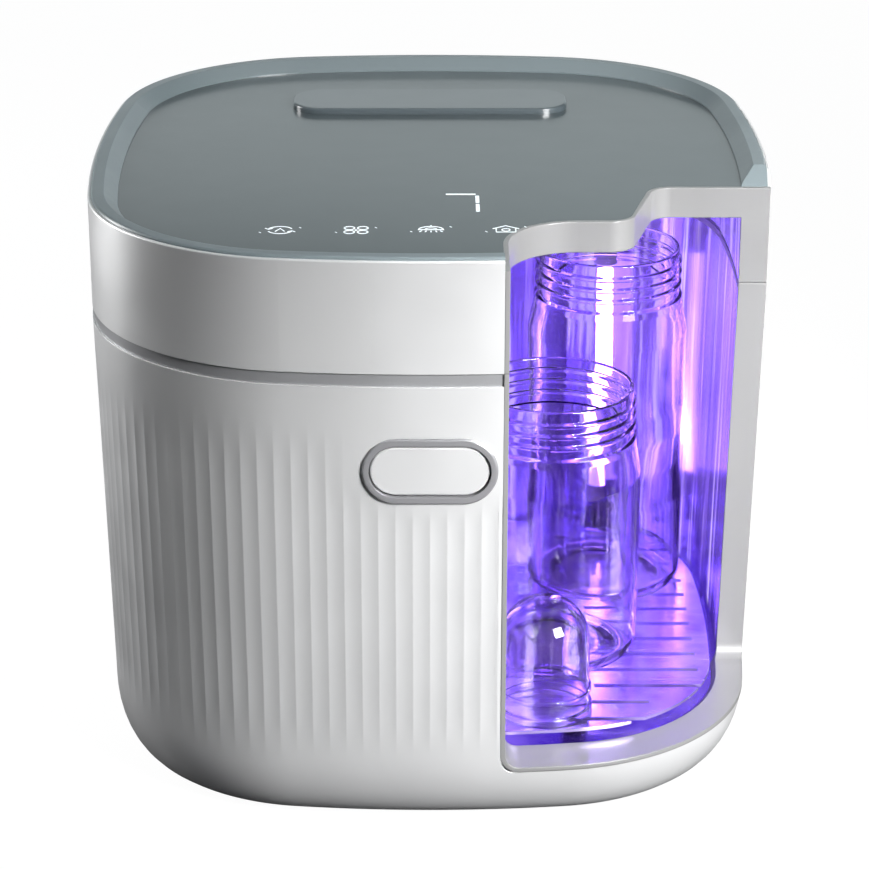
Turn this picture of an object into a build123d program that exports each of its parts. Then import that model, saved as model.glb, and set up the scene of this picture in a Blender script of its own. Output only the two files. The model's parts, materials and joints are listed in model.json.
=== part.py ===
from build123d import *
import os
from collections import namedtuple
from math import sqrt

# Bottle sterilizer: a countertop cabinet with a hinged lid. Millimetres throughout.
# The front is -Y, +X is to the right of someone facing it, and Z = 0 is the surface it stands on.
# One corner, front right, is sectioned away to show the chamber, as on a demonstration unit.

# ---- driving dimensions -------------------------------------------------------------------
WIDTH = 280.0
DEPTH = 305.0
LID_TOP = 243.0
LID_BOTTOM = 197.0
BODY_TOP = 191.7
BODY_BOTTOM = 1.0
TAPER = 3.9
BASE_EDGE = 16.0
WALL = 2.4

# Plans: half sizes, the radius of the end bulges (front, back) and side bulges, the corner radius.
Plan = namedtuple("Plan", "half_width half_depth end_radius side_radius corner_radius centre_y")
CASE = Plan(WIDTH / 2, DEPTH / 2, 478.0, 660.0, 91.0, 0.0)
CHAMBER = Plan(127.5, 116.0, 450.0, 640.0, 74.0, -18.0)

CHAMBER_FLOOR = 24.0
CHAMBER_RIM = 193.0
CHAMBER_DRAFT = 3.0
LINER_WALL = 1.0

# The section cut: its plan corners with their radii, and the level of its ledge.
SECTION_LEFT = 30.0
SECTION_STEP_FROM = (79.0, -90.5)
SECTION_STEP_TO = (91.0, -45.2)
SECTION_RADII = (28.0, 11.0, 9.0)
SECTION_LEDGE = 27.0
SECTION_LEDGE_RADIUS = 6.0
TRIM = 2.0

# Lid build-up, from the panel downwards.
PANEL_TOP = 237.6
PANEL_THICK = 3.0
PANEL_INSET = 11.8
RIM_INSET = 1.2
RIM_CREST_INSET = 6.5
SHELL_TOP = 241.8
LEDGE_THICK = 3.0
LINER_CEILING = 225.0
LINER_THICK = 1.2
LID_FLANGE_LOW = 197.4
LID_FLANGE_HIGH = 198.9

# Hinge line at the back of the case.
HINGE_Y = DEPTH / 2
HINGE_Z = 194.3
KNUCKLE_RADIUS = 4.2
HINGE_RELIEF = 4.8
HINGE_PIN_RADIUS = 1.6
HINGE_CENTRES = (-48.0, 48.0)
HINGE_HALF_SPAN = 19.0
HINGE_ARM_OFFSET = 12.65
HINGE_ARM_HALF = 4.35
LEAF_HALF = 8.0

# Release button on the front.
BUTTON_Z = 157.2
BUTTON_SIZE = (46.0, 20.0)
BEZEL_SIZE = (52.4, 27.2)
BEZEL_FRONT = -152.6
BUTTON_FRONT = -151.6
BUTTON_BACK = -145.4
SPRING_SEAT = -137.0
SPRING_RADIUS = 3.0
SPRING_WIRE = 0.45
SPRING_TURNS = 4
SPRING_PLACES = (-17.0, 17.0)

# Latch rocker behind the button.
LATCH_PIVOT = (-141.7, 178.0)
LATCH_PIN_RADIUS = 1.5
LATCH_HALF = 6.0
LATCH_TOP = 203.3
LATCH_FOOT = 150.0
LATCH_HOOK = 2.0

# Floor rack and the load standing on it.
RACK_TOP = 32.0
RACK_THICK = 1.5
SLOT_PITCH = 15.0
SLOT_SIZE = (45.0, 3.0)
SLOT_COLUMNS = (-91.5, 0.0, 91.5)

# Rear compartment: blower on the left, electronics on the right, all carried by a steel frame.
FRAME_Y = 101.5
FRAME_SHEET = (FRAME_Y, FRAME_Y + 1.5)
FAN_CENTRE = (-58.0, 58.0)
FAN_HALF = 34.0
FAN_BLADES = 18
FAN_FRONT = 111.0
FAN_BACK = 128.5
FILTER_FRONT = 129.5
FILTER_BACK = 135.0
DUCT_CENTRE = (-58.0, 118.0)
FILTER_SIZE = (66.0, 46.0)
INLET_CENTRE = (72.0, 30.0)
SCREW_PLACES = [(x, y) for x in (-98, 98) for y in (-45, 45)]

# Violet tubes: two stand at the back of the chamber and one lies under the lid.
LAMP_X = (-80.0, 80.0)
LAMP_Y = 78.0
LAMP_RADIUS = 4.0
LAMP_ENDS = (57.0, 165.0)
LAMP_PINS = (50.0, 172.0)
SOCKET_RADIUS = 5.5
PROBE_Z = 168.0
LID_LAMP_HALF = 56.0
LID_LAMP_Y = 10.0
LID_LAMP_Z = 217.0

# Openings through the rear wall: the span in Y that cuts it, and the louvres.
REAR_CUT = (130, 160)
LOUVRE = (44, 3)
LOUVRE_PITCH = 7

# Feet and the rounded bar on the panel.
FOOT_PLACES = [(x, y) for x in (-88, 88) for y in (-88, 88)]
FOOT_RADIUS = 9.0
FOOT_HEIGHT = 3.6
BAR_SIZE = (122, 34)
BAR_Y = 82.6
BAR_HEIGHT = 2.7
ICON_Y = -100.5
BOARD_TOP = 229.0

parts = {}


# ---- shared shapes ------------------------------------------------------------------------
def plan_face(plan, inset=0.0, z=0.0):
    """Face with four bulged sides and four tangent corner arcs, drawn in by inset."""
    half_width = plan.half_width - inset
    half_depth = plan.half_depth - inset
    end = plan.end_radius - inset
    side = plan.side_radius - inset
    corner = plan.corner_radius - inset
    end_centre = Vector(0, half_depth - end)
    side_centre = Vector(half_width - side, 0)
    span = side_centre - end_centre
    gap = span.length
    unit = span.normalized()
    along = (gap**2 + (end - corner) ** 2 - (side - corner) ** 2) / (2 * gap)
    across = sqrt((end - corner) ** 2 - along**2)
    corner_centre = end_centre + unit * along + Vector(unit.Y, -unit.X) * across
    end_tangent = end_centre + (corner_centre - end_centre).normalized() * end
    side_tangent = side_centre + (corner_centre - side_centre).normalized() * side
    outward = (end_tangent - corner_centre).normalized() + (side_tangent - corner_centre).normalized()
    middle = corner_centre + outward.normalized() * corner

    def at(point, sx, sy):
        return (point.X * sx, point.Y * sy)

    arcs = []
    for sx, sy in ((1, 1), (1, -1), (-1, -1), (-1, 1)):
        first, last = (end_tangent, side_tangent) if sx == sy else (side_tangent, end_tangent)
        arcs.append(ThreePointArc(at(first, sx, sy), at(middle, sx, sy), at(last, sx, sy)))
        if sx == sy:
            arcs.append(ThreePointArc(at(last, sx, sy), (sx * half_width, 0), at(last, sx, -sy)))
        else:
            arcs.append(ThreePointArc(at(last, sx, sy), (0, sy * half_depth), at(last, -sx, sy)))
    return Pos(0, plan.centre_y, z) * Face(Wire(arcs))


def slab(plan, inset, low, high):
    """Upright prism of a plan between two levels."""
    return Part(extrude(plan_face(plan, inset, low), high - low, dir=(0, 0, 1)).wrapped)


def ring(plan, outer, inner, low, high):
    return slab(plan, outer, low, high) - slab(plan, inner, low, high)


def box(x, y, z):
    """Box from three (low, high) pairs."""
    size = (x[1] - x[0], y[1] - y[0], z[1] - z[0])
    return Pos((x[0] + x[1]) / 2, (y[0] + y[1]) / 2, (z[0] + z[1]) / 2) * Box(*size)


def rod_x(radius, x0, x1, y, z):
    return Pos((x0 + x1) / 2, y, z) * Rot(0, 90, 0) * Cylinder(radius, x1 - x0)


def rod_y(radius, y0, y1, x, z):
    return Pos(x, (y0 + y1) / 2, z) * Rot(90, 0, 0) * Cylinder(radius, y1 - y0)


def rod_z(radius, z0, z1, x, y):
    return Pos(x, y, (z0 + z1) / 2) * Cylinder(radius, z1 - z0)


def stadium_y(width, height, y0, y1, x, z):
    """Pill-shaped prism along Y."""
    profile = Plane(origin=(x, y0, z), x_dir=(1, 0, 0), z_dir=(0, 1, 0)) * SlotOverall(width, height)
    return Part(extrude(profile, y1 - y0, dir=(0, 1, 0)).wrapped)


def group(solids):
    """Separate solids that share one node."""
    return Compound(children=[piece for solid in solids for piece in solid.solids()])


def bottom_fillet(solid, radius):
    return fillet(solid.edges().group_by(Axis.Z)[0], radius)


# ---- envelopes ----------------------------------------------------------------------------
def case_inset(z):
    """The case narrows evenly towards its base."""
    return TAPER * (1 - z / BODY_TOP)


def case_solid(inset, low, high, edge):
    faces = [plan_face(CASE, inset + case_inset(z), z) for z in (low, high)]
    return bottom_fillet(Part(loft(faces, ruled=True).wrapped), edge)


def chamber_solid(grow, low, edge):
    """The chamber space, grown sideways by grow; it narrows towards its floor."""
    faces = [plan_face(CHAMBER, CHAMBER_DRAFT - grow, low), plan_face(CHAMBER, -grow, CHAMBER_RIM)]
    return bottom_fillet(Part(loft(faces, ruled=True).wrapped), edge)


def section_volume(margin):
    """What the section removes, grown by margin into the walls."""
    left = SECTION_LEFT - margin
    step_from = (SECTION_STEP_FROM[0] - 0.4 * margin, SECTION_STEP_FROM[1] + margin)
    step_to = (SECTION_STEP_TO[0] - 0.7 * margin, SECTION_STEP_TO[1] + margin)
    corners = [(left, -200), (left, step_from[1]), step_from, step_to, (200, step_to[1]), (200, -200)]
    outline = make_face(Polyline(*corners, close=True))
    radii = (SECTION_RADII[0] + margin, SECTION_RADII[1] - margin, SECTION_RADII[2] + margin)
    for corner, radius in zip(corners[1:4], radii):
        near = outline.vertices().sort_by_distance(Vector(*corner))[0]
        outline = fillet(near, radius)
    ledge = SECTION_LEDGE - margin
    prism = extrude(Pos(0, 0, ledge) * outline, 260 - ledge)
    low_left = prism.edges().group_by(Axis.Z)[0].filter_by(Axis.Y).sort_by(Axis.X)[0]
    return Part(fillet(low_left, SECTION_LEDGE_RADIUS + margin).wrapped)


SECTION = section_volume(0.0)
SECTION_OUT = section_volume(TRIM)
CHAMBER_SPACE = chamber_solid(0.0, CHAMBER_FLOOR, 6.0) + slab(CHAMBER, 0.0, CHAMBER_RIM, LINER_CEILING)


def hinge_relief():
    """Round channels along the hinge line, which clear the knuckles at every angle."""
    spans = [(x - HINGE_HALF_SPAN, x + HINGE_HALF_SPAN) for x in HINGE_CENTRES]
    return [rod_x(HINGE_RELIEF, low, high, HINGE_Y, HINGE_Z) for low, high in spans]


# ---- case ---------------------------------------------------------------------------------
def outer_casing():
    shell = case_solid(0.0, BODY_BOTTOM, BODY_TOP, BASE_EDGE)
    shell -= case_solid(WALL, BODY_BOTTOM + WALL, BODY_TOP, BASE_EDGE - WALL)
    shell -= slab(CASE, TAPER + 24.0, 0, 5)
    shell -= stadium_y(*BEZEL_SIZE, -160, -140, 0, BUTTON_Z)
    half_x, half_z = FILTER_SIZE[0] / 2, FILTER_SIZE[1] / 2
    x, z = FAN_CENTRE
    shell -= box((x - half_x - 1, x + half_x + 1), REAR_CUT, (z - half_z - 1, z + half_z + 1))
    x, z = INLET_CENTRE
    shell -= box((x - 11, x + 11), REAR_CUT, (z - 7, z + 7))
    for row in range(6):
        shell -= stadium_y(*LOUVRE, *REAR_CUT, 58, 70 + LOUVRE_PITCH * row)
    for x in HINGE_CENTRES:
        for side in (-1, 1):
            arm = x + side * HINGE_ARM_OFFSET
            notch = (arm - HINGE_ARM_HALF - 0.55, arm + HINGE_ARM_HALF + 0.55)
            shell -= box(notch, (140, 160), (188, 192))
    for relief in hinge_relief():
        shell -= relief
    return shell - SECTION_OUT


def seam_band():
    band = ring(CASE, 0.8, 2.5, BODY_TOP, 196.7)
    for relief in hinge_relief():
        band -= relief
    return band - SECTION_OUT


def top_collar():
    collar = slab(CASE, 2.6, CHAMBER_RIM, 195.6) - slab(CHAMBER, 0.0, 190, 197)
    collar -= box((-7.5, 7.5), (-146.5, -138.6), (190, 197))
    for x in HINGE_CENTRES:
        collar -= box((x - HINGE_HALF_SPAN, x + HINGE_HALF_SPAN), (142, 160), (190, 197))
    return collar - SECTION_OUT


def lid_gasket():
    return ring(CHAMBER, -3.6, -0.8, 195.6, 197.1) - SECTION_OUT


def chamber_liner():
    liner = chamber_solid(LINER_WALL, CHAMBER_FLOOR - LINER_WALL, 7.0)
    liner -= chamber_solid(0.0, CHAMBER_FLOOR, 6.0)
    x, z = DUCT_CENTRE
    liner -= box((x - 22, x + 22), (90, 110), (z - 9, z + 9))
    liner -= rod_y(3.2, 90, 110, 0, PROBE_Z)
    for lamp_x in LAMP_X:
        for lamp_z in LAMP_PINS:
            liner -= rod_y(2.6, 85, 110, lamp_x, lamp_z)
    return liner - SECTION_OUT


def body_section_trim():
    wall = case_solid(0.0, BODY_BOTTOM, BODY_TOP, BASE_EDGE) + slab(CASE, 0.0, BODY_TOP, 196.85)
    return (wall - CHAMBER_SPACE) & (SECTION_OUT - SECTION)


def base_plate():
    plate = slab(CASE, TAPER + 18.6, 3.6, 6.1)
    for x, y in SCREW_PLACES:
        plate -= rod_z(1.8, 3, 7, x, y)
    for row in range(9):
        plate -= Pos(0, 50 + 5 * row, 5) * Box(70, 2, 6)
    return plate


def rubber_feet():
    pads = [rod_z(FOOT_RADIUS, 0, FOOT_HEIGHT, x, y) for x, y in FOOT_PLACES]
    return group([bottom_fillet(pad, 1.0) for pad in pads])


def base_screws():
    screws = []
    for x, y in SCREW_PLACES:
        screw = rod_z(3.4, 2.0, FOOT_HEIGHT, x, y) + rod_z(1.7, FOOT_HEIGHT, 12, x, y)
        for cross in ((4.2, 0.9), (0.9, 4.2)):
            screw -= Pos(x, y, 2.0) * Box(*cross, 1.4)
        screws.append(screw)
    return group(screws)


def rear_frame():
    """Steel sheet that carries the blower and the boards behind the chamber."""
    frame = box((-92, 92), FRAME_SHEET, (16, 186))
    frame += box((-70, 70), FRAME_SHEET, (6.1, 16))
    frame += box((-70, 70), (FRAME_Y, 124), (6.1, 7.6))
    x, z = DUCT_CENTRE
    frame -= box((x - 24, x + 24), (95, 110), (z - 11, z + 11))
    frame -= rod_y(4, 95, 110, 0, PROBE_Z)
    for lamp_x in LAMP_X:
        for lamp_z in LAMP_PINS:
            frame -= rod_y(3.4, 95, 110, lamp_x, lamp_z)
    return frame


# ---- front release ------------------------------------------------------------------------
def button_bezel():
    bezel = stadium_y(*BEZEL_SIZE, BEZEL_FRONT, -147.2, 0, BUTTON_Z)
    bezel = fillet(bezel.edges().group_by(Axis.Y)[0], 1.0)
    bezel += stadium_y(54.6, 31, -148.4, -147.2, 0, BUTTON_Z)
    return bezel - stadium_y(BUTTON_SIZE[0] + 1, BUTTON_SIZE[1] + 1, -155, -145, 0, BUTTON_Z)


def release_button():
    cap = stadium_y(*BUTTON_SIZE, BUTTON_FRONT, BUTTON_BACK, 0, BUTTON_Z)
    cap = fillet(cap.edges().group_by(Axis.Y)[0], 0.9)
    cap += stadium_y(BUTTON_SIZE[0] + 3.5, BUTTON_SIZE[1] + 3.5, -146.9, BUTTON_BACK, 0, BUTTON_Z)
    return cap + rod_y(2.5, BUTTON_BACK, LATCH_PIVOT[0] - 1.5, 0, BUTTON_Z)


def button_springs():
    """Two compression springs between the button and the latch bracket."""
    gap = 0.05
    length = SPRING_SEAT - BUTTON_BACK - 2 * SPRING_WIRE - 2 * gap
    springs = []
    for x in SPRING_PLACES:
        path = Helix(pitch=length / SPRING_TURNS, height=length, radius=SPRING_RADIUS)
        start = Plane(origin=path @ 0, z_dir=path % 0)
        coil = sweep(start * Circle(SPRING_WIRE), path=path)
        springs.append(Pos(x, BUTTON_BACK + SPRING_WIRE + gap, BUTTON_Z) * Rot(-90, 0, 0) * coil)
    return group(springs)


def latch_bracket():
    bracket = box((-24, 24), (SPRING_SEAT, SPRING_SEAT + 1.4), (148, CHAMBER_RIM))
    for x in (-8.0, 8.0):
        ear = box((x - 1, x + 1), (-145.5, SPRING_SEAT), (172, 184))
        bracket += ear - rod_x(LATCH_PIN_RADIUS, -12, 12, *LATCH_PIVOT)
    return bracket


def latch_pin():
    return rod_x(LATCH_PIN_RADIUS, -11, 11, *LATCH_PIVOT)


def latch_lever():
    """Rocker: the button pushes its foot in, and its hook swings out at the top."""
    y, z = LATCH_PIVOT
    across = (-LATCH_HALF, LATCH_HALF)
    lever = box(across, (y - 0.9, y + 0.9), (LATCH_FOOT, LATCH_TOP)) + rod_x(3.2, *across, y, z)
    lever += box(across, (y + 0.9, y + 1.8), (LATCH_TOP - LATCH_HOOK, LATCH_TOP))
    return lever - rod_x(LATCH_PIN_RADIUS + 0.05, -7, 7, y, z)


# ---- chamber fittings ---------------------------------------------------------------------
def drying_rack():
    rack = slab(CHAMBER, CHAMBER_DRAFT + 3.5, RACK_TOP - RACK_THICK, RACK_TOP)
    for x in SLOT_COLUMNS:
        for row in range(13):
            y = -115 + SLOT_PITCH * row
            inside = 1.0 if abs(y + 18) < 75 else 0.8
            rack -= Pos(x * inside, y, RACK_TOP) * Box(SLOT_SIZE[0] * inside, SLOT_SIZE[1], 6)
    for x in LAMP_X:
        rack -= box((x - 8, x + 8), (LAMP_Y - 8, 110), (RACK_TOP - 5, RACK_TOP + 5))
    return rack


def rack_pads():
    pads = [rod_z(5, CHAMBER_FLOOR, RACK_TOP - RACK_THICK, x, y) for x in (-60, 60) for y in (-98, 62)]
    return group(pads)


def air_grille():
    x, z = DUCT_CENTRE
    y = 97.2
    plate = box((x - 21.7, x + 21.7), (y - 2.5, y + 3.5), (z - 8.7, z + 8.7))
    for row in range(4):
        plate -= box((x - 19, x + 19), (y - 4, y + 5), (z - 7 + 3.8 * row, z - 4.6 + 3.8 * row))
    return plate


def temperature_probe():
    return rod_y(3.1, 88, 104, 0, PROBE_Z) + rod_y(5, 104, 107, 0, PROBE_Z)


def rear_lamps():
    return group([rod_z(LAMP_RADIUS, *LAMP_ENDS, x, LAMP_Y) for x in LAMP_X])


def rear_lamp_sockets():
    sockets = []
    for x in LAMP_X:
        for level, pin, way in zip(LAMP_ENDS, LAMP_PINS, (-1, 1)):
            low, high = sorted((level, level + 13 * way))
            sockets.append(rod_z(SOCKET_RADIUS, low, high, x, LAMP_Y) + rod_y(2.4, LAMP_Y, 106, x, pin))
    return group(sockets)


# ---- rear compartment ---------------------------------------------------------------------
def fan_housing():
    x, z = FAN_CENTRE
    housing = box((x - FAN_HALF, x + FAN_HALF), (FAN_FRONT, FAN_BACK), (z - FAN_HALF, z + FAN_HALF))
    housing -= rod_y(30, FAN_FRONT + 2, FAN_BACK - 2, x, z)
    housing -= box((x + 2, x + 30), (FAN_FRONT + 2, FAN_BACK - 2), (z, z + 40))
    housing -= rod_y(18, FAN_BACK - 4, FAN_BACK + 2, x, z)
    return housing - rod_y(3, FAN_FRONT - 2, FAN_FRONT + 4, x, z)


def fan_impeller():
    x, z = FAN_CENTRE
    back, front = FAN_BACK - 4.5, FAN_FRONT + 3.5
    wheel = rod_y(26, front, front + 1.5, x, z) + rod_y(6, front, back, x, z)
    for blade in range(FAN_BLADES):
        vane = Pos(21.5, (front + back) / 2, 0) * Rot(0, 35, 0) * Box(9, back - front, 0.9)
        wheel += Pos(x, 0, z) * Rot(0, 360 / FAN_BLADES * blade, 0) * vane
    return wheel - rod_y(1.55, front - 1, back + 1, x, z)


def fan_motor():
    x, z = FAN_CENTRE
    return rod_y(13, FRAME_Y + 1.5, FAN_FRONT, x, z) + rod_y(1.5, FAN_FRONT, FAN_BACK - 5.5, x, z)


def air_duct():
    """Elbow from the top of the blower to the chamber's grille."""
    x, z = DUCT_CENTRE
    top = z + 12
    low = FAN_CENTRE[1] + FAN_HALF
    duct = box((x - 25, x + 33), (FAN_FRONT, FAN_BACK), (low, top))
    duct -= box((x - 23, x + 31), (FAN_FRONT + 2, FAN_BACK - 2), (low - 1, top - 2))
    sleeve = box((x - 23.5, x + 23.5), (99.5, FAN_FRONT), (z - 10.5, z + 10.5))
    sleeve -= box((x - 22, x + 22), (99, FAN_FRONT + 3), (z - 9, z + 9))
    return duct + sleeve - box((x - 22, x + 22), (FAN_FRONT - 1, FAN_FRONT + 3), (z - 9, z + 9))


def heater_element():
    """Finned heater block inside the duct."""
    x, z = DUCT_CENTRE
    block = box((x - 20, x + 20), (102, 110.5), (z - 2, z + 2))
    for fin in range(13):
        block += box((x - 19.5 + 3.1 * fin, x - 18.9 + 3.1 * fin), (102, 110.5), (z - 8.6, z + 8.6))
    return block


def air_filter():
    """Pleated cartridge behind the rear cover."""
    x, z = FAN_CENTRE
    half_x, half_z = FILTER_SIZE[0] / 2 - 7, FILTER_SIZE[1] / 2 - 2
    cartridge = box((x - half_x, x + half_x), (FILTER_FRONT, FILTER_BACK), (z - half_z, z + half_z))
    for pleat in range(11):
        groove = x - 21.5 + 4.3 * pleat
        pocket = box((groove - 1.1, groove + 1.1), (120, FILTER_BACK - 2), (z - half_z + 2, z + half_z - 2))
        cartridge -= pocket
    return cartridge


def filter_cover():
    """Louvred piece of the rear wall that carries the filter and pulls out."""
    x, z = FAN_CENTRE
    half_x, half_z = FILTER_SIZE[0] / 2, FILTER_SIZE[1] / 2
    skin = case_solid(0.0, BODY_BOTTOM, BODY_TOP, BASE_EDGE)
    skin -= case_solid(WALL, BODY_BOTTOM + WALL, BODY_TOP, BASE_EDGE - WALL)
    cover = skin & box((x - half_x + 0.5, x + half_x - 0.5), REAR_CUT, (z - half_z + 0.5, z + half_z - 0.5))
    inside = case_solid(WALL, BODY_BOTTOM + WALL, BODY_TOP, BASE_EDGE - WALL)
    for side in (-24.5, 24.5):
        rail = box((x + side - 1, x + side + 1), (FILTER_BACK, 160), (z - 14, z + 14))
        cover += rail & inside
    for row in range(5):
        cover -= stadium_y(*LOUVRE, *REAR_CUT, x, z - 14 + LOUVRE_PITCH * row)
    return cover


def power_board():
    board = box((22, 88), (112, 113.6), (50, 150))
    chips = [((30, 48), 12, (60, 84)), ((56, 80), 15, (56, 76)), ((30, 40), 17, (98, 120))]
    for x, tall, z in chips:
        board += box(x, (113.6, 113.6 + tall), z)
    for z in (96, 110, 124):
        board += rod_y(5, 113.6, 126, 66, z)
    for x in (26, 84):
        for z in (54, 146):
            board += rod_y(2.6, FRAME_Y + 1.5, 112, x, z)
    return board


def power_inlet():
    x, z = INLET_CENTRE
    socket = box((x - 10.6, x + 10.6), (124, 142.4), (z - 6.6, z + 6.6))
    socket -= box((x - 8.4, x + 8.4), (130, 145), (z - 4.4, z + 4.4))
    for pin in (-4.2, 4.2):
        socket += rod_y(1.2, 129, 140, x + pin, z)
    return socket


def lid_sensor():
    return box((100, 112), (84, 92), (186, 192.6))


# ---- hinge --------------------------------------------------------------------------------
def hinge_brackets():
    brackets = []
    for x in HINGE_CENTRES:
        for side in (-1, 1):
            arm = x + side * HINGE_ARM_OFFSET
            low, high = arm - HINGE_ARM_HALF, arm + HINGE_ARM_HALF
            knuckle = rod_x(KNUCKLE_RADIUS, low, high, HINGE_Y, HINGE_Z)
            web = box((low, high), (143.5, HINGE_Y), (188.4, 191.2))
            leaf = box((low, high), (141.5, 144.0), (168, 191.2))
            solid = knuckle + web + leaf - rod_x(HINGE_PIN_RADIUS, low - 1, high + 1, HINGE_Y, HINGE_Z)
            brackets.append(solid)
    return group(brackets)


def hinge_pins():
    pins = [rod_x(HINGE_PIN_RADIUS, x - 17, x + 17, HINGE_Y, HINGE_Z) for x in HINGE_CENTRES]
    return group(pins)


def lid_hinge_leaves():
    leaves = []
    for x in HINGE_CENTRES:
        low, high = x - LEAF_HALF, x + LEAF_HALF
        leaf = rod_x(KNUCKLE_RADIUS, low, high, HINGE_Y, HINGE_Z)
        leaf += box((low, high), (143.2, HINGE_Y), (197.2, 199.6))
        leaf += box((low, high), (143.2, 145.4), (197.2, 214))
        leaves.append(leaf - rod_x(HINGE_PIN_RADIUS + 0.05, low - 1, high + 1, HINGE_Y, HINGE_Z))
    return group(leaves)


# ---- lid ----------------------------------------------------------------------------------
def rim_ramp():
    """Slope that brings the rim down to the panel's level at the section."""
    back = SECTION_STEP_TO[1] + TRIM
    return Pos(110, back, PANEL_TOP) * Rot(22, 0, 0) * Pos(0, 0, 20) * Box(80, 60, 40)


def lid_shell():
    shell = slab(CASE, 0.0, LID_BOTTOM, SHELL_TOP)
    shell = fillet(shell.edges().group_by(Axis.Z)[-1], 0.7)
    shell -= slab(CASE, WALL, LID_BOTTOM - 1, PANEL_TOP - PANEL_THICK - LEDGE_THICK)
    shell -= slab(CASE, PANEL_INSET + 5, LID_BOTTOM, LID_TOP)
    shell -= slab(CASE, RIM_INSET, PANEL_TOP - PANEL_THICK, LID_TOP)
    for x in HINGE_CENTRES:
        shell -= box((x - LEAF_HALF - 0.5, x + LEAF_HALF + 0.5), (140, 160), (LID_BOTTOM - 1, 200))
    for relief in hinge_relief():
        shell -= relief
    return shell - rim_ramp() - SECTION_OUT


def lid_rim():
    low = PANEL_TOP - PANEL_THICK
    rim = slab(CASE, RIM_INSET, low, LID_TOP)
    rim = fillet(rim.edges().group_by(Axis.Z)[-1], 1.1)
    rim -= slab(CASE, PANEL_INSET, low - 1, PANEL_TOP + 0.6)
    faces = [plan_face(CASE, PANEL_INSET, PANEL_TOP + 0.6), plan_face(CASE, RIM_CREST_INSET, LID_TOP)]
    rim -= Part(loft(faces, ruled=True).wrapped)
    return rim - rim_ramp() - SECTION_OUT


def lid_panel():
    return slab(CASE, PANEL_INSET, PANEL_TOP - PANEL_THICK, PANEL_TOP) - SECTION_OUT


def lid_vent_bar():
    """Raised bar near the back of the panel."""
    bar = extrude(Pos(0, BAR_Y, PANEL_TOP) * RectangleRounded(*BAR_SIZE, 13), BAR_HEIGHT)
    return Part(fillet(bar.edges().group_by(Axis.Z)[-1], 1.0).wrapped)


def lid_liner():
    liner = slab(CHAMBER, -LINER_THICK, LID_FLANGE_LOW, LINER_CEILING + LINER_THICK)
    liner += slab(CASE, 2.7, LID_FLANGE_LOW, LID_FLANGE_HIGH)
    liner -= slab(CHAMBER, 0.0, LID_BOTTOM, LINER_CEILING)
    liner -= box((-7.5, 7.5), (-147.5, -139.6), (LID_BOTTOM, 200))
    for x in HINGE_CENTRES:
        liner -= box((x - LEAF_HALF - 0.5, x + LEAF_HALF + 0.5), (142.6, 160), (LID_BOTTOM, 200))
    for x in (-64, 64):
        liner -= rod_z(3.2, 220, 230, x, LID_LAMP_Y)
    return liner - SECTION_OUT


def lid_catch():
    return box((-10, 10), (-139.6, -135.6), (LID_FLANGE_HIGH, 201.0))


def lid_section_trim():
    wall = slab(CASE, 0.0, LID_BOTTOM, PANEL_TOP) - CHAMBER_SPACE
    return wall & (SECTION_OUT - SECTION)


def lid_lamp():
    return rod_x(LAMP_RADIUS, -LID_LAMP_HALF, LID_LAMP_HALF, LID_LAMP_Y, LID_LAMP_Z)


def lid_lamp_sockets():
    sockets = []
    for side in (-1, 1):
        low, high = sorted((side * LID_LAMP_HALF, side * (LID_LAMP_HALF + 12)))
        socket = rod_x(SOCKET_RADIUS, low, high, LID_LAMP_Y, LID_LAMP_Z)
        sockets.append(socket + rod_z(3.0, LID_LAMP_Z + 3, 231, side * 64, LID_LAMP_Y))
    return group(sockets)


def touch_board():
    board = box((-76, 24), (-116, -44), (BOARD_TOP - 1.6, BOARD_TOP))
    for x, y in ((-60, -60), (-36, -72), (-60, -78)):
        board += box((x - 5, x + 5), (y - 4, y + 4), (BOARD_TOP, BOARD_TOP + 1.6))
    return board


def light_guides():
    """Clear posts that carry light from the board up to the touch icons."""
    guides = []
    for x in (-58.3, -28.9, 0.4):
        guides.append(rod_z(5.0, BOARD_TOP, PANEL_TOP - PANEL_THICK, x, ICON_Y))
    guides.append(rod_z(3.5, BOARD_TOP, PANEL_TOP - PANEL_THICK, 20.4, ICON_Y))
    return group(guides)


def display_module():
    return box((-3, 23), (-82, -50), (BOARD_TOP, PANEL_TOP - PANEL_THICK))


def lid_magnet():
    return rod_z(4, LID_FLANGE_HIGH, 202, 121, 70)


def lid_screws():
    screws = []
    for x in (-114, 114):
        for y in (-20, 84):
            screws.append(rod_z(3.0, 229.0, 231.6, x, y) + rod_z(1.4, 231.6, 234.4, x, y))
    return group(screws)


# ---- load ---------------------------------------------------------------------------------
Bottle = namedtuple("Bottle", "x y radius neck height")
BOTTLES = {
    "bottle_front": Bottle(52.0, -44.0, 37.0, 33.5, 120.0),
    "bottle_rear": Bottle(78.0, 27.0, 35.0, 31.0, 158.0),
    "bottle_left": Bottle(-52.0, -40.0, 34.0, 30.0, 158.0),
}
BOTTLE_WALL = 1.8
TEAT_COVER = (47.0, -104.0, 20.0, 50.0)


def bottle(spec):
    """Wide-neck bottle, open at the top, with two thread rings."""
    def profile(offset, floor):
        radius, neck, top = spec.radius - offset, spec.neck - offset, spec.height
        return Polyline((0, floor), (radius - 8, floor), (radius, floor + 9), (radius, top - 34),
                        (neck, top - 22), (neck, top), (0, top), close=True)

    turned = []
    for offset, floor in ((0.0, 0.0), (BOTTLE_WALL, BOTTLE_WALL)):
        turned.append(revolve(make_face(Plane.XZ * profile(offset, floor)), Axis.Z))
    solid = turned[0] - turned[1]
    for z in (spec.height - 15, spec.height - 8):
        thread = Pos(0, 0, z) * (Cylinder(spec.neck + 1.2, 1.8) - Cylinder(spec.neck - 0.4, 1.8))
        solid += thread
    return Pos(spec.x, spec.y, RACK_TOP) * solid


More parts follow.
